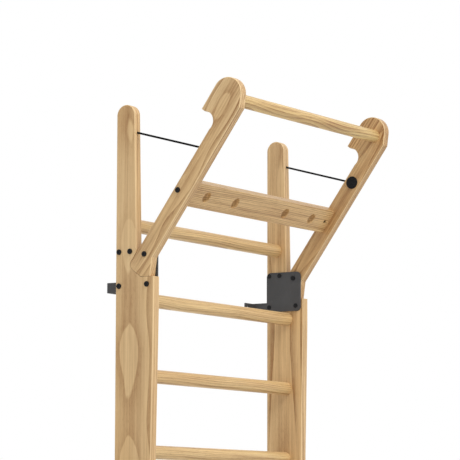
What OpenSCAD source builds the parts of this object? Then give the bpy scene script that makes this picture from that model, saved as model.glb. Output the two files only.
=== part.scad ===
// Wall bars with a folding pull-up frame.
// X runs along the rungs, +Y points at the wall, +Z is up.
// The origin is the middle of the four wall screw holes, on the wall.
// Inside the modules y = 0 is the rear edge of the stiles and z = 0 their feet.

/* [Ladder] */
// Clear width between the two stiles
inner_w = 656; // [500:1:900]
// Thickness of a stile plank
stile_t = 24; // [22:0.5:32]
// Depth of a stile at its shoulder
stile_d = 110; // [106:1:130]
// Depth of a stile at its foot
foot_d = 100; // [92:1:110]
// Height at which the front edge starts to widen
taper_z = 1050; // [600:10:1200]
// Length of the stretch over which it widens
taper_h = 550; // [300:10:560]
// Height of the first rung's axis
first_rung_z = 180; // [120:1:240]
// Height of each step from one rung to the next
step_h = 180; // [170:1:190]
// Diameter of a rung
rung_d = 33; // [28:0.5:38]
// Distance from a stile's front edge back to the rung's axis
rung_setback = 48.5; // [40:0.5:56]
// Distance from the rear edge to the axis of the top rung
top_rung_y = 28; // [22:0.5:32]
// Depth of a rung's mortise
mortise = 16; // [10:0.5:18]
// Radius of the eased edges of all planks
ease_r = 2.5; // [1:0.5:4]

/* [Uprights] */
// Depth of an upright just under its round top
upright_d = 52; // [46:0.5:54]
// Depth of an upright at the height of the pivot
upright_low_d = 59.5; // [55:0.5:60]
// Height of the round top above the pivot
upright_h = 363; // [340:1:366]

/* [Hinge] */
// Height of the pivot above the ninth rung
pivot_above_rung = 105.7; // [98:0.1:115]
// Distance from the rear edge to the pivot
pivot_y = 82.5; // [81:0.5:84]
// Forward lean of the open frame in degrees
open_lean = 35.8; // [30:0.1:40]
// Gap between an arm and the notch it stands in
swing_gap = 0.7; // [0.6:0.1:1]

/* [Arms] */
// From the pivot to an arm's rear edge, at the foot
arm_rear_low = 22; // [20:0.5:23]
// From the pivot line to an arm's rear edge, under the hook
arm_rear_top = 18.5; // [17:0.5:20]
// From the pivot line to an arm's front edge
arm_front = 25; // [22:0.5:28]
// From the pivot to the square foot end
arm_end = 49; // [46:0.5:50]
// From the pivot down to the flat that stands on the shoulder
arm_seat = 52.9; // [52:0.1:56]
// Radius of an arm's heel
heel_r = 16.5; // [16:0.5:20]
// From the pivot forward to the toe's lower end
toe_y = 16; // [14:0.5:18]
// Height of the toe
toe_h = 44.2; // [40:0.1:46]
// How far the toe leans forward over its height
toe_lean = 6; // [4:0.5:8]
// Radius of the round head
head_r = 40; // [36:0.5:42]
// From the hook's centre up the arm to the head's centre
head_rise = 85; // [82:0.5:95]
// Distance of the head's centre behind the pivot line
head_u = 25; // [22:0.5:28]
// Radius of the hook
hook_r = 24; // [23:0.5:26]
// Distance of the hook's centre behind the pivot line
hook_u = 41; // [39:0.5:43]
// How much lower than an upright's top the hook's centre is
hook_drop = 18; // [15:0.5:19]
// Height of the lip's underside above the hook's centre
lip_rise = 19.5; // [18:0.5:21]
// How far the neck under the head leans back for every 24 up
neck_back = 13; // [9:0.5:15]

/* [Pull-up bar] */
// Diameter of the pull-up bar
bar_d = 32; // [28:0.5:38]
// How much lower than the head's centre the bar is
bar_drop = 3.5; // [-8:0.5:8]
// Distance of the bar behind the pivot line
bar_u = 12.5; // [10:0.5:20]
// Diameter of the screw that locks the bar
lock_d = 5; // [4:0.5:6]
// How deep the lock screw sits below the head's surface
lock_sink = 2; // [1:0.5:6]
// How far the lock screw passes the bar's axis
lock_past = 18; // [4:1:22]

/* [Cross rail] */
// Thickness of the rail
rail_t = 23; // [20:0.5:24]
// Height of the rail
rail_h = 65; // [56:1:80]
// Height of the rail's middle along the arm
rail_w = 174; // [150:1:200]
// Distance of the rail's mid-plane behind the pivot line
rail_u = 8.5; // [7:0.5:9]
// Diameter of the four accessory holes
hole_d = 27; // [12:0.5:30]
// Width of the chamfer round both ends of these holes
hole_chamfer = 1; // [0.5:0.5:2]
// Distance of the inner holes from the middle
hole_x_in = 115; // [60:1:140]
// Distance of the outer holes from the middle
hole_x_out = 242.5; // [180:0.5:270]
// Diameter of the rail's barrel nuts
barrel_d = 10; // [9:0.5:12]
// Distance of a barrel nut from the rail's end
barrel_x = 19; // [15:0.5:24]
// How deep a barrel nut sits below each face of the rail
barrel_sink = 3; // [2:0.5:5]
// Diameter of the rail's dowels
dowel_d = 8; // [6:0.5:10]
// Length of a dowel
dowel_l = 32; // [24:1:36]
// Spacing of the two dowels
dowel_span = 44; // [30:1:48]

/* [Hinge plates] */
// Thickness of the steel
plate_t = 4; // [3:0.5:5]
// Height and depth of a hinge plate
plate_size = 102; // [100:0.5:106]
// Radius of a plate's corners
plate_r = 12; // [6:0.5:16]
// Distance of a plate from the stile's rear edge
plate_inset = 2; // [1:0.5:6]
// Distance from the pivot up to the plate's top edge
plate_up = 16.8; // [15:0.1:22]
// Distance of the rear bolts from the stile's rear edge
bolt_in = 9.7; // [9:0.1:12]
// Spacing of the two upper bolts
bolt_span = 31.3; // [28:0.1:33]
// Height of the upper bolts above the pivot
bolt_up = 8.3; // [7.5:0.1:9]
// Distance of the lower front bolt from the plate's front edge
front_bolt_in = 13.9; // [12:0.1:18]
// Height of the lower front bolt above the middle of the tab
front_bolt_up = 1.5; // [0:0.1:4]
// Height of the tab that reaches the wall
tab_h = 24; // [18:0.5:30]
// Gap between the stiles and the wall
wall_gap = 45; // [30:1:60]
// Length of the wall flange, from the stile inwards
flange_l = 39; // [34:1:60]
// Outer radius of the steel's bend
bend_r = 6; // [5:0.5:10]
// Diameter of a wall screw hole
wall_hole_d = 9; // [6:0.5:11]
// Distance from the flange's end to the hole
wall_hole_in = 12; // [9:0.5:14]

/* [Lower brackets] */
// Height of the lower brackets' middle
lower_z = 270; // [230:1:300]
// Depth of a lower bracket's leaf
leaf_d = 76; // [60:1:90]
// Height of a lower bracket
leaf_h = 30; // [26:1:40]

/* [Fasteners] */
// Diameter of a bolt's head
head_d = 13; // [12:0.5:16]
// Thickness of a bolt's head
head_t = 2.5; // [1.5:0.5:4]
// Diameter of a bolt's shank
shank_d = 6; // [5:0.5:6]
// Outer diameter of a sleeve nut
sleeve_d = 8; // [7.5:0.5:9]
// Length of a sleeve nut's barrel
sleeve_l = 16; // [10:0.5:20]
// Diameter of a sleeve nut's rim
rim_d = 11.5; // [10.5:0.5:14]
// Thickness of a sleeve nut's rim
rim_t = 1.5; // [1:0.5:3]
// Width across the flats of a hex socket
hex_af = 4; // [3:0.5:5]
// Depth of a hex socket
hex_l = 1.5; // [1:0.5:2]
// Diameter of a pivot bolt
pivot_d = 8; // [7:0.5:9]
// Outer diameter of a pivot bush
bush_d = 12; // [11:0.5:12.5]
// Outer diameter of a pivot washer
washer_d = 22; // [16:0.5:26]
// Thickness of a pivot washer
washer_t = 0.8; // [0.5:0.1:1.2]

/* [Stay cords] */
// Diameter of a stay cord
cord_d = 5; // [3:0.5:6]
// Diameter of a cord's channel in the wood
channel_d = 6.5; // [6.5:0.5:8]
// How much lower than an upright's top a cord leaves it
cord_drop = 68.5; // [58:0.5:80]
// Diameter of a cord's crimped stop
stop_d = 10; // [9:0.5:11]
// Length of a cord's stop
stop_l = 9; // [6:0.5:11]
// Diameter of a cord's cap
cap_d = 32; // [28:0.5:36]
// Thickness of a cap
cap_t = 2.5; // [1.5:0.5:4]
// Width of the chamfer round a cap
cap_chamfer = 1; // [0.5:0.5:1.5]
// Diameter of the pocket under a cap
pocket_d = 26; // [22:0.5:27]
// Depth of that pocket
pocket_l = 17; // [16.5:0.5:18]
// Length of the cap's skirt inside the pocket
skirt_l = 6; // [4:0.5:8]
// Thickness of that skirt
skirt_t = 2; // [1.5:0.5:3]
// How much lower than the hook's centre the cap's centre is
cap_drop = 50; // [40:1:60]
// Distance of the cap's centre ahead of the pivot line
cap_u = 2.2; // [1:0.1:5]

/* [Hidden] */
$fn = 48;

ash = [0.80, 0.67, 0.48];
ash_light = [0.86, 0.74, 0.56];
steel_black = [0.28, 0.28, 0.28];
bolt_black = [0.12, 0.12, 0.12];
bronze = [0.60, 0.50, 0.30];
nylon = [0.85, 0.85, 0.82];

fit = 0.1;          // radial clearance of a glued or pressed fit
drill = 0.2;        // radial clearance of a bolt in its hole
eps = 1;            // how far a cutter runs past the face it opens
run_on = 5;         // how far the easing of a straight edge runs on over a round

rungs = 10;
half_w = inner_w / 2;
outer_x = half_w + stile_t;
arm_x = half_w + washer_t;
arm_t = stile_t - washer_t;
mid_arm_x = arm_x + arm_t / 2;

function rung_z(i) = first_rung_z + (i - 1) * step_h;
function front_y(z) = foot_d + (stile_d - foot_d) * min(1, max(0, (z - taper_z) / taper_h));
function rung_y(i) = i == rungs ? top_rung_y : front_y(rung_z(i)) - rung_setback;

pivot_z = rung_z(rungs - 1) + pivot_above_rung;
shoulder_z = pivot_z - arm_seat - swing_gap;
top_z = pivot_z + upright_h;
top_r = upright_d / 2;
round_h = upright_h - top_r;

// Depth of an upright at a height above the pivot
function upright_y(h) = upright_low_d - (upright_low_d - upright_d) * h / round_h;

hook_w = upright_h - hook_drop;
lip_w = hook_w + lip_rise;
head_w = hook_w + head_rise;
bar_w = head_w - bar_drop;
cap_w = hook_w - cap_drop;
cord_h = upright_h - cord_drop;

plate_z1 = pivot_z + plate_up;
plate_z0 = plate_z1 - plate_size;
tab_z = plate_z0 + tab_h / 2;
hole_mid_z = (tab_z + lower_z) / 2;
wall_hole_x = half_w - flange_l + wall_hole_in;

// Bolts of a hinge plate as [distance from the rear edge, height]
plate_bolts = [
    [bolt_in, pivot_z + bolt_up],
    [bolt_in + bolt_span, pivot_z + bolt_up],
    [bolt_in, tab_z],
    [plate_inset + plate_size - front_bolt_in, tab_z + front_bolt_up],
];
lower_bolts = [[bolt_in, lower_z], [leaf_d - bolt_in, lower_z]];

// A cord runs from the stop in the upright to the middle of the arm's pocket.
pocket_y = pivot_y + cap_u * cos(open_lean) + cap_w * sin(open_lean);
pocket_z = pivot_z - cap_u * sin(open_lean) + cap_w * cos(open_lean);
cord_slope = (pivot_z + cord_h - pocket_z) / (pocket_y - upright_y(cord_h));
stop_y = 12;
stop_z = pocket_z + cord_slope * (pocket_y - stop_y);
cord_angle = atan(cord_slope);
cord_l = (pocket_y - stop_y) / cos(cord_angle);

// ---------- frames of reference ----------

// From the ladder's own coordinates to the wall
module on_wall() {
    translate([0, -wall_gap, -hole_mid_z]) children();
}

// The right-hand side as drawn, or its mirror image on the left
module on_side(side) {
    mirror([side < 0 ? 1 : 0, 0, 0]) children();
}

// Draws in (y, z) and extrudes along X from x0
module along_x(x0, length) {
    translate([x0, 0, 0]) rotate([90, 0, 90]) linear_extrude(length) children();
}

// The folding frame's own axes: origin on the pivot, Y behind the arm, Z along it
module in_frame() {
    translate([0, -pivot_y, pivot_z]) rotate([open_lean, 0, 0]) children();
}

// What easing takes off an edge, with the wood at x > 0 and y > 0. Its circle
// runs a hair deeper than the faces, so that it crosses them at a clear angle.
module ease_profile(r = ease_r) {
    bite = 0.03;
    difference() {
        translate([-eps, -eps]) square(r + eps);
        translate([r, r]) circle(r = r + bite);
    }
}

// Eases the straight edges along points that have the wood on their left, with a
// mitre where the outline turns outwards, and running on over a round at the ends
module ease_path(points, on_before = 0, on_after = 0) {
    last = len(points) - 1;
    for (i = [1:last]) {
        p = points[i - 1];
        q = points[i];
        way = (q - p) / norm(q - p);
        before = i == 1 ? on_before : cross(p - points[i - 2], way) > 0 ? ease_r : 0;
        after = i == last ? on_after : cross(way, points[i + 1] - q) > 0 ? ease_r : 0;
        translate(p - before * way) rotate(atan2(way[1], way[0])) rotate([90, 0, 90])
            linear_extrude(norm(q - p) + before + after) ease_profile();
    }
}

// Eases half a circle, with the wood inside it, a little less than the straight edges
module ease_round(centre, r, from) {
    translate(centre) rotate(from) rotate_extrude(angle = 180)
        translate([r, 0]) mirror([1, 0]) ease_profile(0.9 * ease_r);
}

// Eases a hollow arc, with the wood around it, a little less than the straight edges
module ease_hollow(centre, r, from, sweep) {
    translate(centre) rotate(from) rotate_extrude(angle = sweep)
        translate([r, 0]) ease_profile(0.8 * ease_r);
}

// Takes the second child off the first on both faces of a plank
module on_both_faces(thickness) {
    difference() {
        children(0);
        children(1);
        translate([0, 0, thickness]) mirror([0, 0, 1]) children(1);
    }
}

// A plank from x0: its outline in (y, z), then what eases its round and its straight edges
module plank(x0, thickness) {
    translate([x0, 0, 0]) rotate([90, 0, 90]) on_both_faces(thickness) {
        on_both_faces(thickness) {
            linear_extrude(thickness) children(0);
            children(1);
        }
        children(2);
    }
}

// A centred rectangle with round corners
module round_corners(width, height, r) {
    square([width - 2 * r, height], center = true);
    square([width, height - 2 * r], center = true);
    for (x = [-1, 1], y = [-1, 1])
        translate([x * (width / 2 - r), y * (height / 2 - r)]) circle(r = r);
}

// A cylinder along X from x0
module x_rod(x0, length, d) {
    translate([x0, 0, 0]) rotate([0, 90, 0]) cylinder(d = d, h = length);
}

// ---------- stiles ----------

// The space that the open arm's foot needs, in the arm's own axes
module arm_notch() {
    rear = arm_rear_low + swing_gap;
    low = arm_end + swing_gap;
    ahead = stile_d;
    translate([-ahead, heel_r - low]) square([ahead + rear, ahead]);
    translate([-ahead, -low]) square([ahead + rear - heel_r, heel_r + eps]);
    translate([rear - heel_r, heel_r - low]) circle(r = heel_r);
}

// A stile's front edge from the shoulder down, and its foot
front_edge = [
    [-stile_d, shoulder_z], [-stile_d, taper_z + taper_h], [-foot_d, taper_z], [-foot_d, 0], [0, 0],
];

module stile_outline() {
    polygon(concat([[0, shoulder_z]], front_edge));
    difference() {
        union() {
            polygon([
                [0, shoulder_z - eps], [0, pivot_z + round_h], [-upright_d, pivot_z + round_h],
                [-upright_low_d, pivot_z], [-pivot_y, pivot_z], [-pivot_y, shoulder_z - eps],
            ]);
            translate([-top_r, pivot_z + round_h]) circle(r = top_r);
        }
        intersection() {
            translate([-pivot_y, pivot_z]) rotate(open_lean) arm_notch();
            translate([-stile_d, shoulder_z]) square([stile_d, stile_d]);
        }
    }
}

// The uprights' front edges are eased down to just above the arms.
module stile_straight_edges() {
    above_arm = 12;
    ease_path(concat(front_edge, [[0, pivot_z + round_h]]), on_after = run_on);
    ease_path([[-upright_d, pivot_z + round_h], [-upright_y(above_arm), pivot_z + above_arm]], run_on);
}

// Bolt holes of one bracket: the sleeve nut's bore on the inside, the shank's outside
module bolt_holes(spots) {
    for (b = spots) translate([0, -b[0], b[1]]) {
        x_rod(half_w - eps, sleeve_l - plate_t + eps, sleeve_d + 2 * drill);
        x_rod(half_w, stile_t + eps, shank_d + 2 * drill);
    }
}

module stile(side) {
    color(ash) on_wall() on_side(side) difference() {
        plank(half_w, stile_t) {
            stile_outline();
            ease_round([-top_r, pivot_z + round_h], top_r, 0);
            stile_straight_edges();
        }
        for (i = [1:rungs])
            translate([0, -rung_y(i), rung_z(i)]) x_rod(half_w - eps, mortise + eps, rung_d + 2 * fit);
        bolt_holes(plate_bolts);
        bolt_holes(lower_bolts);
        along_cord() {
            translate([0, 0, -stop_y - eps]) cylinder(d = channel_d, h = pivot_y + stop_y);
            translate([0, 0, -stop_y * 2]) cylinder(d = stop_d + 2 * drill, h = stop_y * 2 + stop_l / 2);
        }
    }
}

module left_stile() { stile(-1); }
module right_stile() { stile(1); }

// ---------- rungs ----------

module rung(i) {
    color(ash_light) on_wall() translate([0, -rung_y(i), rung_z(i)])
        x_rod(-half_w - mortise, 2 * (half_w + mortise), rung_d);
}

// ---------- steel ----------

// A flat leaf, its tab to the wall and the flange on the wall, for the right side
module bracket(z0, tab, spots, bolt_bore) {
    difference() {
        union() {
            children();
            translate([0, 0, z0]) linear_extrude(tab) {
                translate([half_w - plate_t, -plate_inset - plate_r])
                    square([plate_t, wall_gap + plate_inset + plate_r - bend_r]);
                translate([half_w - flange_l, wall_gap - plate_t])
                    square([flange_l - bend_r, plate_t]);
                intersection() {
                    translate([half_w - bend_r, wall_gap - bend_r]) difference() {
                        circle(r = bend_r);
                        circle(r = bend_r - plate_t);
                    }
                    translate([half_w - bend_r, wall_gap - bend_r]) square(bend_r);
                }
            }
        }
        for (b = spots) translate([0, -b[0], b[1]])
            x_rod(half_w - plate_t - eps, plate_t + 2 * eps, bolt_bore);
        translate([wall_hole_x, wall_gap + eps, z0 + tab / 2])
            rotate([90, 0, 0]) cylinder(d = wall_hole_d, h = plate_t + 2 * eps);
    }
}

// A plate outline in (y, z) with the corners rounded, all but the one over the tab
module leaf_outline(y0, z0, depth, height, r, square_h) {
    translate([y0, z0]) {
        translate([r, 0]) square([depth - 2 * r, height]);
        translate([0, r]) square([depth, height - 2 * r]);
        for (y = [r, depth - r], z = [r, height - r]) translate([y, z]) circle(r = r);
        translate([depth - r, 0]) square([r, square_h]);
    }
}

module hinge_plate(side) {
    color(steel_black) on_wall() on_side(side) difference() {
        bracket(plate_z0, tab_h, plate_bolts, sleeve_d + 2 * drill)
            along_x(half_w - plate_t, plate_t)
                leaf_outline(-plate_inset - plate_size, plate_z0, plate_size, plate_size, plate_r, tab_h);
        translate([0, -pivot_y, pivot_z])
            x_rod(half_w - plate_t - eps, plate_t + 2 * eps, pivot_d + 2 * fit);
    }
}

module left_hinge_plate() { hinge_plate(-1); }
module right_hinge_plate() { hinge_plate(1); }

module lower_bracket(side) {
    color(steel_black) on_wall() on_side(side)
        bracket(lower_z - leaf_h / 2, leaf_h, lower_bolts, sleeve_d + 2 * drill)
            along_x(half_w - plate_t, plate_t)
                leaf_outline(-leaf_d, lower_z - leaf_h / 2, leaf_d, leaf_h, plate_r, leaf_h);
}

module left_lower_bracket() { lower_bracket(-1); }
module right_lower_bracket() { lower_bracket(1); }

// ---------- bolts ----------

// A low round head with a hex socket, its shank running back along -X
module socket_bolt(shank, length) {
    difference() {
        union() {
            x_rod(0, head_t, head_d);
            x_rod(-length, length, shank);
        }
        translate([head_t - hex_l, 0, 0]) rotate([0, 90, 0])
            cylinder(d = hex_af / cos(30), h = hex_l + eps, $fn = 6);
    }
}

// A sleeve nut: a rim on the steel and a bored barrel in the wood
module sleeve_nut(bore, barrel, length) {
    difference() {
        union() {
            x_rod(-rim_t, rim_t, rim_d);
            x_rod(0, length, barrel);
        }
        x_rod(0, length + eps, bore + 2 * fit);
    }
}

module bolt_set(side, spots) {
    color(bolt_black) on_wall() on_side(side) for (b = spots)
        translate([outer_x, -b[0], b[1]])
            socket_bolt(shank_d, stile_t + plate_t - 2);
}

module nut_set(side, spots) {
    color(bolt_black) on_wall() on_side(side) for (b = spots)
        translate([half_w - plate_t, -b[0], b[1]])
            sleeve_nut(shank_d, sleeve_d, sleeve_l);
}

module left_plate_bolts() { bolt_set(-1, plate_bolts); }
module right_plate_bolts() { bolt_set(1, plate_bolts); }
module left_plate_nuts() { nut_set(-1, plate_bolts); }
module right_plate_nuts() { nut_set(1, plate_bolts); }
module left_lower_bolts() { bolt_set(-1, lower_bolts); }
module right_lower_bolts() { bolt_set(1, lower_bolts); }
module left_lower_nuts() { nut_set(-1, lower_bolts); }
module right_lower_nuts() { nut_set(1, lower_bolts); }

// ---------- pivots ----------

module pivot_bolt(side) {
    color(bolt_black) on_wall() on_side(side)
        translate([outer_x, -pivot_y, pivot_z])
            socket_bolt(pivot_d, stile_t + plate_t + rim_t);
}

module pivot_nut(side) {
    color(bolt_black) on_wall() on_side(side)
        translate([half_w - plate_t, -pivot_y, pivot_z]) difference() {
            x_rod(-2 * rim_t, 2 * rim_t, rim_d);
            x_rod(-rim_t - fit, rim_t + fit + eps, pivot_d + 2 * fit);
        }
}

module pivot_bush(side) {
    color(bronze) on_wall() on_side(side) in_frame() difference() {
        x_rod(arm_x, arm_t, bush_d);
        x_rod(arm_x - eps, arm_t + 2 * eps, pivot_d + 2 * fit);
    }
}

module pivot_washer(side) {
    color(nylon) on_wall() on_side(side) in_frame() difference() {
        x_rod(half_w, washer_t, washer_d);
        x_rod(half_w - eps, washer_t + 2 * eps, pivot_d + 2 * fit);
    }
}

module left_pivot_bolt() { pivot_bolt(-1); }
module right_pivot_bolt() { pivot_bolt(1); }
module left_pivot_nut() { pivot_nut(-1); }
module right_pivot_nut() { pivot_nut(1); }
module left_pivot_bush() { pivot_bush(-1); }
module right_pivot_bush() { pivot_bush(1); }
module left_pivot_washer() { pivot_washer(-1); }
module right_pivot_washer() { pivot_washer(1); }

// ---------- arms ----------

// The foot's corner is cut back to the circle that clears the shoulder
swing_r = arm_seat + swing_gap - 0.3;
foot_u = sqrt(swing_r * swing_r - arm_end * arm_end);
seat_back = sqrt(swing_r * swing_r - arm_seat * arm_seat);

// A point of the open arm given by its distance ahead of and below the pivot
function from_pivot(ahead, below) = [
    -ahead * cos(open_lean) - below * sin(open_lean),
    ahead * sin(open_lean) - below * cos(open_lean),
];

// The neck's front edge touches the head's circle.
neck_lean = atan(neck_back / 24);
// Corners of the toe, and of the neck where it meets the head
toe_foot = from_pivot(toe_y, arm_seat);
toe_top = from_pivot(toe_y + toe_lean, arm_seat - toe_h);
neck_top = [head_u - head_r * cos(neck_lean), head_w + head_r * sin(neck_lean)];
neck_foot = [-arm_front, neck_top[1] - (neck_top[0] + arm_front) / tan(neck_lean)];

// Angles, seen from the hook's centre, at which its arc starts and ends
hook_from = asin(lip_rise / hook_r);
hook_to = 180 + acos((hook_u - arm_rear_top) / hook_r);

module arm_outline() {
    heel = [arm_rear_low - heel_r, heel_r - arm_end];
    difference() {
        union() {
            polygon([
                [arm_rear_low, heel[1]], [arm_rear_top, hook_w], [hook_u, hook_w],
                [hook_u, lip_w], [head_u + head_r, lip_w], [head_u + head_r, head_w],
                [head_u, head_w], neck_top, neck_foot, toe_top, toe_foot,
                from_pivot(-seat_back, arm_seat), [-foot_u, -arm_end], [heel[0], -arm_end],
            ]);
            translate(heel) circle(r = heel_r);
            translate([head_u, head_w]) circle(r = head_r);
        }
        translate([hook_u, hook_w]) circle(r = hook_r);
    }
}

module arm_round_edges() {
    mitre = atan(ease_r / hook_r);
    ease_hollow([hook_u, hook_w], hook_r, hook_from - mitre, hook_to - hook_from + 2 * mitre);
    intersection() {
        ease_round([head_u, head_w], head_r, -neck_lean);
        translate([head_u - 2 * head_r, head_w, -ease_r]) cube([4 * head_r, 2 * head_r, 3 * ease_r]);
    }
}

module arm_straight_edges() {
    ease_path([[arm_rear_low, heel_r - arm_end], [arm_rear_top, hook_w]]);
    ease_path([
        [hook_u + hook_r * cos(hook_from) - ease_r, lip_w], [head_u + head_r, lip_w],
        [head_u + head_r, head_w],
    ], on_after = run_on);
    ease_path([neck_top, neck_foot, toe_top, toe_foot], run_on);
}

// Cutters and rods along a cord: Z runs from the upright's stop to the arm's pocket
module along_cord() {
    translate([mid_arm_x, -stop_y, stop_z]) rotate([90 + cord_angle, 0, 0]) children();
}

module arm(side) {
    color(ash) on_wall() on_side(side) difference() {
        in_frame() difference() {
            plank(arm_x, arm_t) {
                arm_outline();
                arm_round_edges();
                arm_straight_edges();
            }
            x_rod(arm_x - eps, arm_t + 2 * eps, bush_d + 2 * fit);
            translate([0, bar_u, bar_w]) {
                x_rod(arm_x - eps, mortise + eps, bar_d + 2 * fit);
                translate([mid_arm_x, -lock_past, 0]) rotate([-90, 0, 0])
                    cylinder(d = lock_d + 2 * fit, h = lock_past + head_u + head_r);
            }
            translate([0, rail_u, rail_w]) {
                x_rod(arm_x - eps, arm_t + 2 * eps, shank_d + 2 * drill);
                for (w = [-dowel_span / 2, dowel_span / 2])
                    translate([0, 0, w]) x_rod(arm_x - eps, dowel_l / 2 + eps, dowel_d + 2 * fit);
            }
            translate([0, -cap_u, cap_w]) x_rod(arm_x - eps, pocket_l + eps, pocket_d);
        }
        along_cord() translate([0, 0, cord_l - pocket_d]) cylinder(d = channel_d, h = pocket_d);
    }
}

module left_arm() { arm(-1); }
module right_arm() { arm(1); }

// ---------- pull-up bar and cross rail ----------

module pull_up_bar() {
    length = 2 * (arm_x + mortise);
    color(ash_light) on_wall() in_frame() translate([0, bar_u, bar_w]) difference() {
        x_rod(-length / 2, length, bar_d);
        for (x = [-mid_arm_x, mid_arm_x]) translate([x, -lock_past, 0]) rotate([-90, 0, 0])
            cylinder(d = lock_d + 2 * fit, h = lock_past + bar_d);
    }
}

module bar_lock_screws() {
    length = lock_past + head_u + head_r - bar_u - lock_sink;
    color(bolt_black) on_wall() in_frame()
        for (x = [-mid_arm_x, mid_arm_x]) translate([x, bar_u - lock_past, bar_w])
            rotate([-90, 0, 0]) cylinder(d = lock_d, h = length);
}

module accessory_hole() {
    cut = hole_chamfer + eps;
    rotate([90, 0, 0]) cylinder(d = hole_d, h = rail_t + 2 * eps, center = true);
    for (turn = [90, -90]) rotate([turn, 0, 0]) translate([0, 0, rail_t / 2 - hole_chamfer])
        cylinder(d1 = hole_d, d2 = hole_d + 2 * cut, h = cut);
}

module cross_rail() {
    color(ash) on_wall() in_frame() translate([0, rail_u, rail_w]) difference() {
        along_x(-arm_x, 2 * arm_x) round_corners(rail_t, rail_h, ease_r);
        for (x = [-hole_x_out, -hole_x_in, hole_x_in, hole_x_out])
            translate([x, 0, 0]) accessory_hole();
        for (side = [-1, 1]) on_side(side) {
            translate([arm_x - barrel_x, rail_t / 2 - barrel_sink, 0]) rotate([90, 0, 0])
                cylinder(d = barrel_d + 2 * fit, h = rail_t);
            x_rod(arm_x - barrel_x - barrel_d, barrel_x + barrel_d + eps, shank_d + 2 * drill);
            for (w = [-dowel_span / 2, dowel_span / 2]) translate([0, 0, w])
                x_rod(arm_x - dowel_l / 2, dowel_l / 2 + eps, dowel_d + 2 * fit);
        }
    }
}

module rail_bolts() {
    color(bolt_black) on_wall() in_frame() for (side = [-1, 1]) on_side(side)
        translate([outer_x, rail_u, rail_w]) socket_bolt(shank_d, arm_t + barrel_x + barrel_d / 2);
}

module rail_barrel_nuts() {
    length = rail_t - 2 * barrel_sink;
    color(bolt_black) on_wall() in_frame() for (side = [-1, 1]) on_side(side)
        translate([arm_x - barrel_x, rail_u, rail_w]) difference() {
            translate([0, length / 2, 0]) rotate([90, 0, 0]) cylinder(d = barrel_d, h = length);
            x_rod(-barrel_d / 2 - 0.5, barrel_d + eps, shank_d + 2 * fit);
        }
}

module rail_dowels() {
    end_gap = 0.5;
    color(ash_light) on_wall() in_frame()
        for (side = [-1, 1], w = [-dowel_span / 2, dowel_span / 2]) on_side(side)
            translate([0, rail_u, rail_w + w])
                x_rod(arm_x - dowel_l / 2 + end_gap, dowel_l - 2 * end_gap, dowel_d);
}

// ---------- stay cords ----------

module stay_cord(side) {
    color(bolt_black) on_wall() on_side(side) along_cord()
        translate([0, 0, stop_l / 2]) cylinder(d = cord_d, h = cord_l - stop_l);
}

module left_stay_cord() { stay_cord(-1); }
module right_stay_cord() { stay_cord(1); }

module arm_cord_stops() {
    color(bolt_black) on_wall() for (side = [-1, 1]) on_side(side) along_cord()
        translate([0, 0, cord_l - stop_l / 2]) cylinder(d = stop_d, h = stop_l);
}

module upright_cord_stops() {
    color(bolt_black) on_wall() for (side = [-1, 1]) on_side(side) along_cord()
        translate([0, 0, -stop_l / 2]) cylinder(d = stop_d, h = stop_l);
}

module cord_cap(side) {
    color(bolt_black) on_wall() on_side(side) in_frame() translate([0, -cap_u, cap_w]) {
        x_rod(arm_x - cap_t + cap_chamfer, cap_t - cap_chamfer, cap_d);
        translate([arm_x - cap_t, 0, 0]) rotate([0, 90, 0])
            cylinder(d1 = cap_d - 2 * cap_chamfer, d2 = cap_d, h = cap_chamfer);
        difference() {
            x_rod(arm_x - eps, skirt_l + eps, pocket_d - 2 * fit);
            x_rod(arm_x, skirt_l + eps, pocket_d - 2 * fit - 2 * skirt_t);
        }
    }
}

module left_cord_cap() { cord_cap(-1); }
module right_cord_cap() { cord_cap(1); }

// ---------- assembly ----------

left_stile();
right_stile();
rung(1);  // rung_01
rung(2);  // rung_02
rung(3);  // rung_03
rung(4);  // rung_04
rung(5);  // rung_05
rung(6);  // rung_06
rung(7);  // rung_07
rung(8);  // rung_08
rung(9);  // rung_09
rung(10);  // rung_10
left_hinge_plate();
right_hinge_plate();
left_plate_bolts();
right_plate_bolts();
left_plate_nuts();
right_plate_nuts();
left_pivot_bolt();
right_pivot_bolt();
left_pivot_nut();
right_pivot_nut();
left_pivot_bush();
right_pivot_bush();
left_pivot_washer();
right_pivot_washer();
left_arm();
right_arm();
pull_up_bar();
bar_lock_screws();
cross_rail();
rail_bolts();
rail_barrel_nuts();
rail_dowels();
left_stay_cord();
right_stay_cord();
arm_cord_stops();
upright_cord_stops();
left_cord_cap();
right_cord_cap();
left_lower_bracket();
right_lower_bracket();
left_lower_bolts();
right_lower_bolts();
left_lower_nuts();
right_lower_nuts();
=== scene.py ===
import math

import bpy
from mathutils import Matrix, Vector


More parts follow.
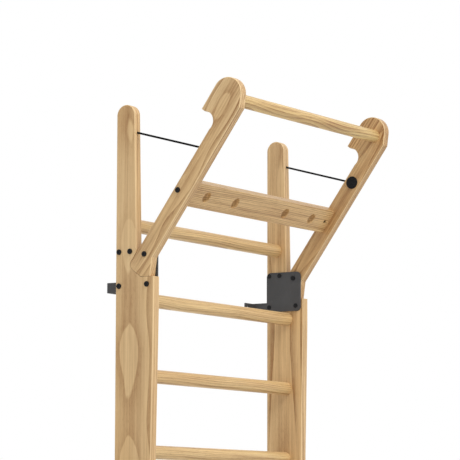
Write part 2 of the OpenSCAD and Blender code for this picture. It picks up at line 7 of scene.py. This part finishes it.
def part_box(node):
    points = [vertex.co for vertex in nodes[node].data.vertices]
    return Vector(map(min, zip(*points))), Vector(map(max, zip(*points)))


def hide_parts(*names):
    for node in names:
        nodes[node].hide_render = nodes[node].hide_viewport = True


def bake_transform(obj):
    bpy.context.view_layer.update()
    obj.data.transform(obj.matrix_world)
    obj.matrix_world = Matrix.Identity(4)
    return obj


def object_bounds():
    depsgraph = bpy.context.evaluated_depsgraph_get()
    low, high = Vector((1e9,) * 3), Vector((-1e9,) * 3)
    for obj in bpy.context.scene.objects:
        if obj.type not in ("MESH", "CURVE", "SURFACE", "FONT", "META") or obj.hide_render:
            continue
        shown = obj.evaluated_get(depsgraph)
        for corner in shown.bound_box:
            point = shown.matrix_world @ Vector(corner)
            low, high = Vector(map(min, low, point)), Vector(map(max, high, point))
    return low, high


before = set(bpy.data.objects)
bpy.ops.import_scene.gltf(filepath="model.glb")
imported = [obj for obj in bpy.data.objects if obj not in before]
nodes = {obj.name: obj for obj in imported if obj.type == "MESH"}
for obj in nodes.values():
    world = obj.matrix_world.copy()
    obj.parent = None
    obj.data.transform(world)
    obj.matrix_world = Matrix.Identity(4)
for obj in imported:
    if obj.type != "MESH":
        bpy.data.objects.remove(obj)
cad_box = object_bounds()
scene = bpy.context.scene


# ---------------------------------------------------------------- camera
# Fitted to the photograph: low, ahead of the wall bars and well to their left
CAMERA_PLACE = (-5.17871, -3.48707, 0.11886)
CAMERA_YAW = math.radians(57.13791)
CAMERA_PITCH = math.radians(6.82254)
CAMERA_ROLL = math.radians(0.13564)
FOCAL_PIXELS = 2496
IMAGE_PIXELS = 460
SENSOR_MM = 36


def set_camera():
    ahead = Vector((math.sin(CAMERA_YAW) * math.cos(CAMERA_PITCH),
                    math.cos(CAMERA_YAW) * math.cos(CAMERA_PITCH),
                    math.sin(CAMERA_PITCH)))
    level = Vector((math.cos(CAMERA_YAW), -math.sin(CAMERA_YAW), 0))
    upright = level.cross(ahead)
    right = math.cos(CAMERA_ROLL) * level + math.sin(CAMERA_ROLL) * upright
    up = math.cos(CAMERA_ROLL) * upright - math.sin(CAMERA_ROLL) * level
    data = bpy.data.cameras.new("camera")
    data.sensor_fit = "HORIZONTAL"
    data.sensor_width = SENSOR_MM
    data.lens = SENSOR_MM * FOCAL_PIXELS / IMAGE_PIXELS
    data.clip_end = 60
    camera = bpy.data.objects.new("camera", data)
    turn = Matrix((right, up, -ahead)).transposed().to_4x4()
    camera.matrix_world = Matrix.Translation(CAMERA_PLACE) @ turn
    scene.collection.objects.link(camera)
    scene.camera = camera


set_camera()


# ---------------------------------------------------------------- node trees
class Net:
    """Short calls for one node tree. A value is a number, a colour or another node's socket."""

    def __init__(self, tree):
        self.tree = tree

    def put(self, socket, value):
        if isinstance(value, bpy.types.NodeSocket):
            self.tree.links.new(value, socket)
        elif value is not None:
            socket.default_value = value

    def node(self, kind, inputs=(), **props):
        n = self.tree.nodes.new("ShaderNode" + kind)
        for name, value in props.items():
            setattr(n, name, value)
        for name, value in dict(inputs).items():
            self.put(n.inputs[name], value)
        return n

    def math(self, op, a, b=None, clamp=False):
        n = self.node("Math", operation=op, use_clamp=clamp)
        for socket, value in zip(n.inputs, (a, b)):
            self.put(socket, value)
        return n.outputs[0]

    def add(self, a, b):
        return self.math("ADD", a, b)

    def sub(self, a, b):
        return self.math("SUBTRACT", a, b)

    def mul(self, a, b):
        return self.math("MULTIPLY", a, b)

    def swing(self, value, amount):
        """A noise of 0 to 1 as a change of up to half of amount to either side."""
        return self.mul(self.sub(value, 0.5), amount)

    def hypot(self, a, b):
        return self.math("SQRT", self.add(self.math("POWER", a, 2.0), self.math("POWER", b, 2.0)))

    def split(self, vector):
        n = self.node("SeparateXYZ", {"Vector": vector})
        return n.outputs[0], n.outputs[1], n.outputs[2]

    def join(self, x, y, z):
        return self.node("CombineXYZ", {"X": x, "Y": y, "Z": z}).outputs[0]

    def noise(self, vector, scale=1.0, detail=2.0, rough=0.5):
        n = self.node("TexNoise", {"Vector": vector, "Scale": scale, "Detail": detail, "Roughness": rough})
        return n.outputs["Fac"]

    def stretched(self, point, stretch, detail, rough=0.5, shift=None):
        """Noise with its own scale along each axis, moved by shift along the first."""
        x, y, z = (self.mul(c, k) for c, k in zip(point, stretch))
        if shift is not None:
            x = self.add(x, shift)
        return self.noise(self.join(x, y, z), 1.0, detail, rough)

    def ramp(self, fac, stops):
        n = self.node("ValToRGB", {"Fac": fac})
        elements = n.color_ramp.elements
        while len(elements) < len(stops):
            elements.new(0.5)
        for element, (place, grey) in zip(elements, stops):
            element.position = place
            element.color = (grey, grey, grey, 1)
        return n.outputs["Color"]

    def mix(self, fac, a, b):
        n = self.node("Mix", data_type="RGBA", clamp_factor=True)
        for socket, value in ((n.inputs[0], fac), (n.inputs[6], a), (n.inputs[7], b)):
            self.put(socket, value)
        return n.outputs[2]

    def map(self, value, low, high, to_low, to_high, **props):
        n = self.node("MapRange", {"Value": value, "From Min": low, "From Max": high,
                                   "To Min": to_low, "To Max": to_high}, **props)
        return n.outputs["Result"]

    def seen(self):
        """1 for rays that show a surface to the camera, straight, mirrored or through glass."""
        path = self.node("LightPath").outputs
        mirrored = self.math("MAXIMUM", path["Is Glossy Ray"], path["Is Transmission Ray"])
        return self.math("MAXIMUM", path["Is Camera Ray"], mirrored)


def srgb(r, g, b):
    """A colour of 0 to 255 as linear RGBA."""
    def linear(c):
        c /= 255
        return c / 12.92 if c <= 0.04045 else ((c + 0.055) / 1.055) ** 2.4
    return (linear(r), linear(g), linear(b), 1)


def material(name):
    m = bpy.data.materials.new(name)
    m.use_nodes = True
    m.node_tree.nodes.clear()
    n = Net(m.node_tree)
    shader = n.node("BsdfPrincipled")
    out = n.node("OutputMaterial")
    n.put(out.inputs["Surface"], shader.outputs[0])
    return m, n, shader, out


def bump(n, shader, height, strength, distance):
    relief = n.node("Bump", {"Height": height, "Strength": strength, "Distance": distance})
    n.put(shader.inputs["Normal"], relief.outputs[0])


# ---------------------------------------------------------------- ash
GRAIN_INPUTS = {
    "Seed": 0.0,      # where in the noise this plank lies
    "Depth": 0.1,     # how far the tree's pith lies below the plank's middle
    "Wave": 0.002,    # how far the pith swings up and down
    "Length": 0.26,   # length of one such swing
    "Phase": 0.0,     # where the swing starts, in radians
    "Skew": 0.0,      # how far each swing leans, in radians; above 0 its upper side is the steeper
    "Drift": 0.007,   # how far the pith wanders irregularly
    "Slope": 0.0,     # how far the pith sinks for each metre along the plank
    "Ring": 0.0032,   # width of a year's ring
    "Start": 0.0,     # shifts where the first ring starts, in rings
    "Contrast": 1.0,
}
ASH_OUTPUTS = ("Shade", "Tint", "Height", "Gloss")
SIDE_DRIFT = 0.045
RIPPLE = 0.0034
# the porous early wood of each ring is darker; it starts sharply and fades outwards
RING_PROFILE = [(0.0, 0.05), (0.035, 0.95), (0.12, 0.8), (0.4, 0.36), (0.75, 0.12), (1.0, 0.0)]


def ring_radius(n, given, point):
    """Distance from the pith, whose path bends along the plank."""
    x, y, z = point
    seed = given["Seed"]
    slow = n.noise(n.join(seed, 0.0, n.mul(z, 2.3)), 1.0, 2.0)
    side = n.noise(n.join(seed, 5.0, n.mul(z, 1.7)), 1.0, 1.0)
    turn = n.add(n.mul(n.math("DIVIDE", z, given["Length"]), math.tau), given["Phase"])
    turn = n.add(turn, n.mul(n.math("COSINE", turn), given["Skew"]))
    wave = n.mul(n.math("COSINE", turn), given["Wave"])
    depth = n.add(n.add(given["Depth"], wave), n.swing(slow, given["Drift"]))
    depth = n.add(depth, n.mul(z, given["Slope"]))
    across = n.add(y, n.swing(side, SIDE_DRIFT))
    ripple = n.stretched(point, (14.0, 22.0, 5.0), 3.0, 0.55, shift=seed)
    return n.add(n.hypot(n.add(x, depth), across), n.swing(ripple, RIPPLE))


def early_wood(n, given, radius, z):
    """How dark each place is for its season. No two years are equally wide or equally dark."""
    rings = n.add(n.math("DIVIDE", radius, given["Ring"]), given["Start"])
    uneven = n.noise(n.join(n.mul(rings, 0.31), given["Seed"], 0.0), 1.0, 1.0)
    rings = n.add(rings, n.mul(uneven, 1.6))
    season = n.ramp(n.math("FRACT", rings), RING_PROFILE)
    year = n.noise(n.join(n.math("FLOOR", rings), n.mul(z, 1.6), given["Seed"]), 3.1, 1.0)
    return n.mul(season, n.map(year, 0.3, 0.7, 0.35, 1.0))


def ash_group():
    """Growth rings, pores and fibres of one plank. X is the plank's thickness, Y its width and Z runs
    along the grain, in metres. Because the pith bends, flat faces show flames and lozenges."""
    group = bpy.data.node_groups.new("ash_grain", "ShaderNodeTree")
    group.interface.new_socket("Vector", in_out="INPUT", socket_type="NodeSocketVector")
    for name, value in GRAIN_INPUTS.items():
        socket = group.interface.new_socket(name, in_out="INPUT", socket_type="NodeSocketFloat")
        socket.default_value = value
    for name in ASH_OUTPUTS:
        group.interface.new_socket(name, in_out="OUTPUT", socket_type="NodeSocketFloat")
    n = Net(group)
    given = group.nodes.new("NodeGroupInput").outputs
    out = group.nodes.new("NodeGroupOutput").inputs
    point = n.split(given["Vector"])
    seed = given["Seed"]
    early = early_wood(n, given, ring_radius(n, given, point), point[2])

    # pores are short dark strokes along the grain, mostly in the early wood
    strokes = n.stretched(point, (1500.0, 1500.0, 55.0), 2.0, 0.6)
    pores = n.mul(n.ramp(strokes, [(0.55, 0.0), (0.62, 1.0)]), n.add(n.mul(early, 0.75), 0.25))
    fibre = n.stretched(point, (190.0, 190.0, 4.0), 5.0, 0.68)
    streak = n.stretched(point, (90.0, 90.0, 1.6), 3.0, 0.55, shift=seed)
    cloud = n.stretched(point, (9.0, 9.0, 2.2), 2.0, shift=seed)

    shade = n.add(n.mul(early, 0.88), n.mul(pores, 0.6))
    shade = n.add(n.add(shade, n.swing(fibre, 1.5)), n.swing(streak, 1.0))
    n.put(out["Shade"], n.math("ADD", n.mul(shade, given["Contrast"]), 0.2, clamp=True))
    n.put(out["Tint"], cloud)
    hollows = n.add(n.mul(pores, 0.7), n.mul(early, 0.3))
    n.put(out["Height"], n.sub(n.mul(fibre, 0.2), hollows))
    n.put(out["Gloss"], n.add(n.mul(pores, 0.16), n.mul(cloud, 0.12)))
    return group


ASH = ash_group()
ASH_LIGHT = srgb(240, 208, 157)
ASH_DEEP = srgb(152, 105, 59)
ASH_WARM = srgb(228, 187, 128)
# paler colour of the eased edges: rubbed wear together with a painted highlight
ASH_EDGE_WEAR_AND_HIGHLIGHT = srgb(250, 222, 172)


def ash(name, place, turn, light=ASH_LIGHT, deep=ASH_DEEP, edges=False, **grain):
    """Oiled ash. place and turn put the plank's own axes on the object's. With edges, the eased
    edges of a plank that is thin along X are made paler: partly rubbed wear, partly a painted highlight
    where they catch the light."""
    m, n, shader, _ = material(name)
    source = n.node("TexCoord").outputs
    spot = n.node("Mapping", {"Vector": source["Object"], "Location": place, "Rotation": turn},
                  vector_type="TEXTURE")
    group = n.node("Group", node_tree=ASH)
    n.put(group.inputs["Vector"], spot.outputs[0])
    for key, value in grain.items():
        group.inputs[key.capitalize()].default_value = value
    wood = group.outputs
    tint = n.ramp(wood["Tint"], [(0.35, 0.0), (0.65, 1.0)])
    colour = n.mix(wood["Shade"], n.mix(n.mul(tint, 0.5), light, ASH_WARM), deep)
    if edges:
        # painted highlight and wear: eased edges, found from the slant of the normal, are mixed towards a
        # paler colour
        slant = n.math("ABSOLUTE", n.split(source["Normal"])[0])
        edge_wear_and_highlight = n.ramp(slant, [(0.1, 0.0), (0.35, 1.0), (0.85, 1.0), (0.98, 0.0)])
        colour = n.mix(n.mul(edge_wear_and_highlight, 0.55), colour, ASH_EDGE_WEAR_AND_HIGHLIGHT)
    n.put(shader.inputs["Base Color"], colour)
    n.put(shader.inputs["Roughness"], n.add(wood["Gloss"], 0.36))
    shader.inputs["Specular IOR Level"].default_value = 0.35
    shader.inputs["Coat Weight"].default_value = 0.06
    shader.inputs["Coat Roughness"].default_value = 0.3
    bump(n, shader, wood["Height"], 0.35, 0.0004)
    return m


# ---------------------------------------------------------------- metal and plastic
def turned_rings(n, coord, centre, pitch):
    """Waves of -1 to 1 round a centre (y, z) on a face across X."""
    _, y, z = n.split(coord)
    radius = n.hypot(n.sub(y, centre[0]), n.sub(z, centre[1]))
    return n.math("SINE", n.mul(radius, math.tau / pitch))


def coated(name, colour, rough, grain, depth, shine=0.5, metallic=0.0, wear=None, rings=None):
    """Powder-coated or blackened steel, bare metal and moulded plastic: a fine texture of grain per
    metre and a depth in metres, uneven dust, and rubbed spots of the wear colour. rings is the centre
    and the pitch of fine turned rings."""
    m, n, shader, _ = material(name)
    coord = n.node("TexCoord").outputs["Object"]
    height = n.noise(coord, grain, 3.0, 0.6)
    broad = n.noise(coord, 24.0, 3.0, 0.55)
    dark = tuple(c * 0.82 for c in colour[:3]) + (1,)
    base = n.mix(n.ramp(broad, [(0.35, 0.0), (0.7, 1.0)]), dark, colour)
    if wear:
        spots = n.ramp(n.noise(coord, 90.0, 4.0, 0.7), [(0.62, 0.0), (0.72, 1.0)])
        base = n.mix(n.mul(spots, 0.3), base, wear)
    if rings:
        wave = turned_rings(n, coord, *rings)
        height = n.add(n.mul(height, 0.3), wave)
        # painted highlight: the crests of the turned rings are mixed towards a paler grey
        painted_crest_highlight = n.map(wave, 0.0, 1.0, 0.0, 0.5)
        base = n.mix(painted_crest_highlight, base, srgb(58, 58, 60))
    n.put(shader.inputs["Base Color"], base)
    n.put(shader.inputs["Roughness"], n.add(n.mul(broad, 0.14), rough - 0.07))
    shader.inputs["Metallic"].default_value = metallic
    shader.inputs["Specular IOR Level"].default_value = shine
    bump(n, shader, height, 0.4, depth)
    return m


STEEL = coated("black_steel", srgb(79, 79, 80), 0.5, 700.0, 0.00012, shine=0.3, wear=srgb(100, 100, 100))
BOLT = coated("black_bolt", srgb(13, 13, 15), 0.42, 1600.0, 0.00006, shine=0.22, wear=srgb(60, 60, 62))
BRONZE = coated("bronze", srgb(176, 128, 78), 0.34, 2200.0, 0.00003, metallic=1.0)
NYLON = coated("nylon", srgb(222, 222, 214), 0.5, 1200.0, 0.00004, shine=0.3)
CRIMP = coated("crimp_metal", srgb(150, 150, 152), 0.34, 1500.0, 0.00005, metallic=1.0)


def cap_plastic(node):
    """Black plastic with fine rings round the cap's own centre."""
    _, y, z = middle(node)
    return coated("black_plastic_" + node, srgb(8, 8, 9), 0.5, 1900.0, 0.0008, shine=0.12,
                  rings=((y, z), 0.0034))


# ---------------------------------------------------------------- dressing the CAD nodes
QUARTER_TURN = math.pi / 2
STILE_X = 0.340
ARM_X = 0.3404
# the open frame's forward lean, and the pivot's place (y, z)
LEAN = math.radians(35.8)
PIVOT = (-0.1275, 0.76445)
# the light lozenge that the photograph shows on the left stile is centred at this height
LOZENGE_Z = 0.52
STILE_WAVE_LENGTH = 0.27


def dress(node, m):
    slots = nodes[node].data.materials
    slots.clear()
    slots.append(m)


def middle(node):
    lo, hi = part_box(node)
    return tuple((a + b) / 2 for a, b in zip(lo, hi))


def planks():
    dress("left_stile", ash(
        "ash_left_stile", (-STILE_X, -0.085, 0.0), (0, 0, 0), deep=srgb(164, 118, 71), edges=True,
        seed=2.0, depth=0.15678, wave=0.0019, length=STILE_WAVE_LENGTH, skew=0.3,
        phase=math.pi - math.tau * LOZENGE_Z / STILE_WAVE_LENGTH,
        drift=0.002, slope=0.003, ring=0.010, start=0.6, contrast=0.6))
    dress("right_stile", ash(
        "ash_right_stile", (STILE_X, -0.095, 0.0), (0, 0, 0), edges=True,
        seed=8.5, depth=0.08, wave=0.004, length=0.75, phase=1.0, ring=0.012, start=0.66, contrast=0.75))
    # moved a little from the pivot, so that a light lozenge falls on the arm's head
    dress("left_arm", ash(
        "ash_left_arm", (-ARM_X, PIVOT[0] + 0.0146, PIVOT[1] + 0.01055), (LEAN, 0, 0),
        deep=srgb(160, 114, 67), edges=True,
        seed=13.0, depth=0.1016, wave=0.0016, length=0.2, phase=math.pi,
        drift=0.001, slope=-0.004, ring=0.0065, start=0.85, contrast=0.85))
    # painted shade: this arm's pale colour is deeper than the other planks' to stand for the shade on its
    # inner face
    dress("right_arm", ash(
        "ash_right_arm", (ARM_X, *PIVOT), (LEAN, 0, 0), light=srgb(216, 179, 127), edges=True,
        seed=21.0, depth=0.08, length=0.5, ring=0.0042, start=0.66, contrast=1.1))


def dress_along_x(node, **grain):
    """Ash whose grain runs along X."""
    _, y, z = middle(node)
    dress(node, ash("ash_" + node, (0.0, y, z), (0, QUARTER_TURN, 0), **grain))


def round_wood_and_rail():
    for i in range(1, 11):
        dress_along_x("rung_%02d" % i, light=srgb(247, 217, 158), seed=30.0 + 3.7 * i,
                      depth=0.05 + 0.02 * (i % 4), length=0.4, phase=1.3 * i, ring=0.005, contrast=0.75)
    dress_along_x("pull_up_bar", light=srgb(247, 220, 153), seed=71.0, depth=0.05, wave=0.003,
                  length=0.3, ring=0.006)
    dress_along_x("cross_rail", light=srgb(241, 207, 148), seed=84.0, depth=0.16, length=0.9, ring=0.0036)
    dress_along_x("rail_dowels", seed=95.0)


FITTINGS = (
    (STEEL, ("_hinge_plate", "_lower_bracket")),
    (BOLT, ("_bolts", "_nuts", "_pivot_bolt", "_pivot_nut", "_lock_screws")),
    (BRONZE, ("_bush",)),
    (NYLON, ("_washer",)),
    (CRIMP, ("_cord_stops",)),
)


def fittings():
    for name in nodes:
        for m, endings in FITTINGS:
            if name.endswith(endings):
                dress(name, m)
        if name.endswith("_cord_cap"):
            dress(name, cap_plastic(name))


planks()
round_wood_and_rail()
fittings()


# ---------------------------------------------------------------- stay cords
def cord_material():
    m, n, shader, _ = material("black_cord")
    coord = n.node("TexCoord").outputs["Object"]
    fuzz = n.noise(coord, 2600.0, 3.0, 0.7)
    broad = n.noise(coord, 120.0, 2.0)
    base = n.mix(n.ramp(fuzz, [(0.4, 0.0), (0.7, 1.0)]), srgb(4, 4, 5), srgb(18, 18, 20))
    n.put(shader.inputs["Base Color"], n.mix(n.mul(broad, 0.3), base, srgb(14, 14, 16)))
    shader.inputs["Roughness"].default_value = 0.8
    shader.inputs["Specular IOR Level"].default_value = 0.15
    bump(n, shader, fuzz, 0.5, 0.00015)
    return m


CARRIERS = 8          # strands that turn each way
BRAID_PITCH = 0.021   # length of one turn
STEPS_PER_TURN = 32
STRAND_SIDES = 6
CORE_SIDES = 12


def tube_faces(base, sides, lengths):
    """The side faces and two ends of a tube whose rings of vertices follow each other from base."""
    faces = []
    for i in range(lengths):
        for j in range(sides):
            p = base + i * sides + j
            q = base + i * sides + (j + 1) % sides
            faces.append((p, q, q + sides, p + sides))
    faces.append([base + j for j in reversed(range(sides))])
    faces.append([base + lengths * sides + j for j in range(sides)])
    return faces


class Braid:
    """A round braid: as many strands turn each way, and each goes over and under those it meets."""

    def __init__(self, start, end, radius):
        self.start = start
        self.radius = radius
        self.strand = radius * 0.23
        axis = end - start
        self.length = axis.length
        self.axis = axis.normalized()
        self.a = self.axis.orthogonal().normalized()
        self.b = self.axis.cross(self.a)
        self.verts = []
        self.faces = []

    def add_strand(self, way, k):
        base = len(self.verts)
        steps = max(8, int(self.length / BRAID_PITCH * STEPS_PER_TURN))
        over_phase = (math.pi if way > 0 else 0) + math.pi * k
        for i in range(steps + 1):
            s = self.length * i / steps
            angle = way * math.tau * s / BRAID_PITCH + math.tau * k / CARRIERS
            over = math.sin(CARRIERS * math.tau * s / BRAID_PITCH + over_phase)
            r = self.radius - self.strand * 0.95 + over * self.strand * 0.5
            out = self.a * math.cos(angle) + self.b * math.sin(angle)
            tangent = self.b * math.cos(angle) - self.a * math.sin(angle)
            along = (self.axis + tangent * way * math.tau * r / BRAID_PITCH).normalized()
            wide = out.cross(along)
            centre = self.start + self.axis * s + out * r
            for j in range(STRAND_SIDES):
                t = math.tau * j / STRAND_SIDES
                flat = out * (math.sin(t) * self.strand * 0.5)
                self.verts.append(centre + flat + wide * (math.cos(t) * self.strand * 1.9))
        self.faces += tube_faces(base, STRAND_SIDES, steps)

    def add_core(self):
        base = len(self.verts)
        core = self.radius - self.strand * 1.2
        for s in (0.0, self.length):
            for j in range(CORE_SIDES):
                t = math.tau * j / CORE_SIDES
                out = self.a * math.cos(t) + self.b * math.sin(t)
                self.verts.append(self.start + self.axis * s + out * core)
        self.faces += tube_faces(base, CORE_SIDES, 1)

    def build(self, name):
        for way in (-1, 1):
            for k in range(CARRIERS):
                self.add_strand(way, k)
        self.add_core()
        mesh = bpy.data.meshes.new(name)
        mesh.from_pydata([tuple(v) for v in self.verts], [], self.faces)
        mesh.polygons.foreach_set("use_smooth", [True] * len(mesh.polygons))
        mesh.update()
        piece = bpy.data.objects.new(name, mesh)
        scene.collection.objects.link(piece)
        return piece


def rod_ends(node):
    """The radius of a round rod that slants in the YZ plane, and the ends of its centre line."""
    lo, hi = (Vector(c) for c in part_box(node))
    x, r = (lo.x + hi.x) / 2, (hi.x - lo.x) / 2
    rise, run = hi.z - lo.z, hi.y - lo.y
    slope = math.atan2(rise, run)
    # the box is larger than the centre line by the rod's two end discs
    for _ in range(20):
        slope = math.atan2(rise - 2 * r * math.cos(slope), run - 2 * r * math.sin(slope))
    disc_y, disc_z = r * math.sin(slope), r * math.cos(slope)
    back = Vector((x, hi.y - disc_y, hi.z - disc_z))
    front = Vector((x, lo.y + disc_y, lo.z + disc_z))
    return r, back, front


def stay_cords():
    cord = cord_material()
    for side in ("left", "right"):
        radius, back, front = rod_ends(side + "_stay_cord")
        piece = Braid(back, front, radius).build(side + "_braided_cord")
        piece.data.materials.append(cord)
        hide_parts(side + "_stay_cord")
        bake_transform(piece)


stay_cords()


# ---------------------------------------------------------------- floor and light
FLOOR_HALF = 9.0
FLOOR_GAP = 0.0005
FADE_FROM, FADE_TO = 0.5, 3.4   # distances from the object at which the floor turns white


def floor():
    """A pale floor that keeps the shadow. Away from the object it passes into the white background,
    without lighting anything."""
    m, n, shader, out = material("floor")
    coord = n.node("TexCoord").outputs["Object"]
    n.put(shader.inputs["Base Color"],
          n.mix(n.noise(coord, 3.0, 3.0), srgb(238, 238, 238), srgb(246, 246, 246)))
    shader.inputs["Roughness"].default_value = 0.8
    x, y, _ = n.split(coord)
    fade = n.map(n.hypot(x, y), FADE_FROM, FADE_TO, 0.0, 1.0, interpolation_type="SMOOTHSTEP")
    white = n.node("Emission", {"Color": (1, 1, 1, 1), "Strength": 1.0})
    both = n.node("MixShader")
    for socket, value in zip(both.inputs, (n.mul(fade, n.seen()), shader.outputs[0], white.outputs[0])):
        n.put(socket, value)
    n.put(out.inputs["Surface"], both.outputs[0])

    z = cad_box[0][2] - FLOOR_GAP
    corners = [(x * FLOOR_HALF, y * FLOOR_HALF, z) for x, y in ((-1, -1), (1, -1), (1, 1), (-1, 1))]
    mesh = bpy.data.meshes.new("floor")
    mesh.from_pydata(corners, [], [(0, 1, 2, 3)])
    mesh.materials.append(m)
    ground = bpy.data.objects.new("floor", mesh)
    scene.collection.objects.link(ground)


def lamp(name, place, target, size, power):
    data = bpy.data.lights.new(name, "AREA")
    data.shape = "SQUARE"
    data.size = size
    data.energy = power
    o = bpy.data.objects.new(name, data)
    o.location = place
    o.rotation_euler = (Vector(target) - Vector(place)).to_track_quat("-Z", "Y").to_euler()
    scene.collection.objects.link(o)


SKY_LIGHT = 0.52   # the world's strength as light on the object
SKY_SEEN = 1.0     # and as the white background


def surroundings():
    world = bpy.data.worlds.new("world")
    world.use_nodes = True
    world.node_tree.nodes.clear()
    scene.world = world
    n = Net(world.node_tree)
    strength = n.map(n.seen(), 0.0, 1.0, SKY_LIGHT, SKY_SEEN)
    back = n.node("Background", {"Color": (1, 1, 1, 1), "Strength": strength})
    out = n.node("OutputWorld")
    n.put(out.inputs["Surface"], back.outputs[0])


floor()
surroundings()
lamp("key", (-0.8, -3.4, 4.4), (0, -0.1, 0.5), size=2.2, power=148)
lamp("fill_left", (-4.4, -0.4, 1.6), (0, 0, 0.4), size=4.0, power=24)
lamp("fill_right", (4.4, -0.4, 1.6), (0, 0, 0.4), size=4.0, power=14)
scene.view_settings.view_transform = "Standard"
